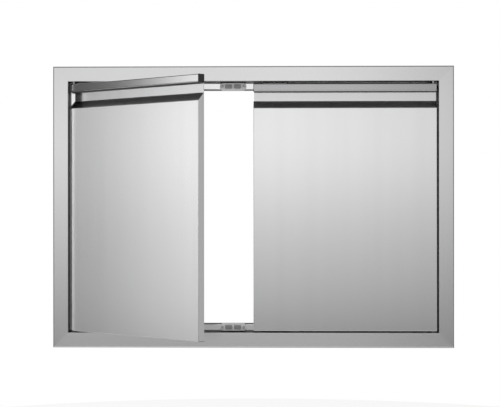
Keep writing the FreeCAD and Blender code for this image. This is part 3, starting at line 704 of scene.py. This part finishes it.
def background_seen(tree):
    """One where the white background shows: to the camera, in metal and through glass."""
    ray = add(tree, "ShaderNodeLightPath").outputs
    either = add(tree, "ShaderNodeMath", {0: ray["Is Camera Ray"], 1: ray["Is Glossy Ray"]},
                 operation="MAXIMUM")
    return add(tree, "ShaderNodeMath", {0: either.outputs[0], 1: ray["Is Transmission Ray"]},
               operation="MAXIMUM").outputs[0]


def studio_world():
    """White background, and an even light on matt surfaces."""
    world = bpy.data.worlds.new("studio")
    bpy.context.scene.world = world
    tree = empty_tree(world)
    plain = add(tree, "ShaderNodeBackground", {"Color": (1, 1, 1, 1), "Strength": PLAIN_LIGHT})
    white = add(tree, "ShaderNodeBackground", {"Color": (1, 1, 1, 1), "Strength": 1.0})
    studio = add(tree, "ShaderNodeMixShader", {0: background_seen(tree), 1: plain.outputs[0],
                                               2: white.outputs[0]})
    add(tree, "ShaderNodeOutputWorld", {"Surface": studio.outputs[0]})


def studio_screens():
    """Graded screens far round the front and sides, which the metal mirrors.

    They stand out of the picture, and are open behind the object, where the backdrop is.
    """
    bm = bmesh.new()
    bmesh.ops.create_uvsphere(bm, u_segments=72, v_segments=36, radius=SCREEN_RADIUS,
                              matrix=Matrix.Translation(MIDDLE))
    behind = []
    for face in bm.faces:
        spot = face.calc_center_median()
        if abs(math.degrees(math.atan2(spot.x, -spot.y))) > BACKDROP_START:
            behind.append(face)
    bmesh.ops.delete(bm, geom=behind, context="FACES")
    mesh = bpy.data.meshes.new("studio_screens")
    bm.to_mesh(mesh)
    bm.free()
    screens = bpy.data.objects.new("studio_screens", mesh)
    bpy.context.scene.collection.objects.link(screens)
    screens.visible_camera = False
    screens.visible_diffuse = False
    screens.visible_transmission = False
    screens.visible_shadow = False
    material = bpy.data.materials.new("graded_screen")
    tree = empty_tree(material)
    from_middle = add(tree, "ShaderNodeVectorMath",
                      {0: add(tree, "ShaderNodeTexCoord").outputs["Object"], 1: tuple(MIDDLE)},
                      operation="SUBTRACT")
    direction = add(tree, "ShaderNodeVectorMath", {0: from_middle.outputs[0]},
                    operation="NORMALIZE")
    way = add(tree, "ShaderNodeSeparateXYZ", {0: direction.outputs[0]})
    forward = add(tree, "ShaderNodeMath", {0: way.outputs["Y"], 1: -1.0}, operation="MULTIPLY")
    compass = add(tree, "ShaderNodeMath", {0: way.outputs["X"], 1: forward.outputs[0]},
                  operation="ARCTAN2").outputs[0]
    rise = add(tree, "ShaderNodeMath", {0: way.outputs["Z"]}, operation="ARCSINE").outputs[0]
    ring = brightness_along(tree, compass, ROUND_THE_STUDIO)
    height = brightness_along(tree, rise, UP_THE_STUDIO)
    steepness = brightness_along(tree, compass, STEEPNESS)
    graded = add(tree, "ShaderNodeMath", {0: height, 1: steepness}, operation="POWER")
    level = add(tree, "ShaderNodeMath", {0: ring, 1: graded.outputs[0]}, operation="MULTIPLY")
    shine = add(tree, "ShaderNodeEmission", {"Color": (1, 1, 1, 1), "Strength": level.outputs[0]})
    add(tree, "ShaderNodeOutputMaterial", {"Surface": shine.outputs[0]})
    material.cycles.emission_sampling = "NONE"
    mesh.materials.append(material)


def studio_floor():
    """Pale round floor well below the frame, which keeps the object's soft shadow."""
    bm = bmesh.new()
    bmesh.ops.create_circle(bm, cap_ends=True, segments=96, radius=FLOOR_RADIUS,
                            matrix=Matrix.Translation((0, 0, FLOOR_LEVEL)))
    mesh = bpy.data.meshes.new("studio_floor")
    bm.to_mesh(mesh)
    bm.free()
    floor = bpy.data.objects.new("studio_floor", mesh)
    bpy.context.scene.collection.objects.link(floor)
    material = bpy.data.materials.new("pale_studio_floor")
    tree = empty_tree(material)
    matt = add(tree, "ShaderNodeBsdfDiffuse", {"Color": linear("#D8D8D8")})
    lift = add(tree, "ShaderNodeEmission", {"Color": (1, 1, 1, 1), "Strength": FLOOR_GLOW})
    nothing = add(tree, "ShaderNodeEmission", {"Strength": 0.0})
    lifted = add(tree, "ShaderNodeMixShader", {0: background_seen(tree), 1: nothing.outputs[0],
                                               2: lift.outputs[0]})
    both = add(tree, "ShaderNodeAddShader", {0: matt.outputs[0], 1: lifted.outputs[0]})
    # seen from underneath the floor is clear, so the frame's underside can be looked at
    under = add(tree, "ShaderNodeNewGeometry").outputs["Backfacing"]
    clear = add(tree, "ShaderNodeBsdfTransparent")
    look = add(tree, "ShaderNodeMixShader", {0: under, 1: both.outputs[0], 2: clear.outputs[0]})
    add(tree, "ShaderNodeOutputMaterial", {"Surface": look.outputs[0]})
    mesh.materials.append(material)


def overhead_light():
    light = bpy.data.lights.new("overhead", "AREA")
    light.shape = "DISK"
    light.size = LAMP_SIZE
    light.energy = LAMP_POWER
    lamp = bpy.data.objects.new("overhead", light)
    lamp.location = LAMP_PLACE
    aim = Vector(LAMP_AIM) - lamp.location
    lamp.rotation_euler = aim.to_track_quat("-Z", "Y").to_euler()
    lamp.visible_glossy = False
    bpy.context.scene.collection.objects.link(lamp)


def studio_camera():
    """The photograph's view: nearly level, a little right of the middle, turned a little left."""
    camera = bpy.data.cameras.new("camera")
    camera.sensor_width = 36.0
    camera.lens = CAMERA_LENS
    eye = bpy.data.objects.new("camera", camera)
    eye.location = CAMERA_PLACE
    eye.rotation_euler = [math.radians(turn) for turn in CAMERA_TURNS]
    bpy.context.scene.collection.objects.link(eye)
    bpy.context.scene.camera = eye


dress_nodes()
dress_details()
studio_floor()
studio_world()
studio_screens()
overhead_light()
studio_camera()
bpy.context.scene.view_settings.view_transform = "Standard"
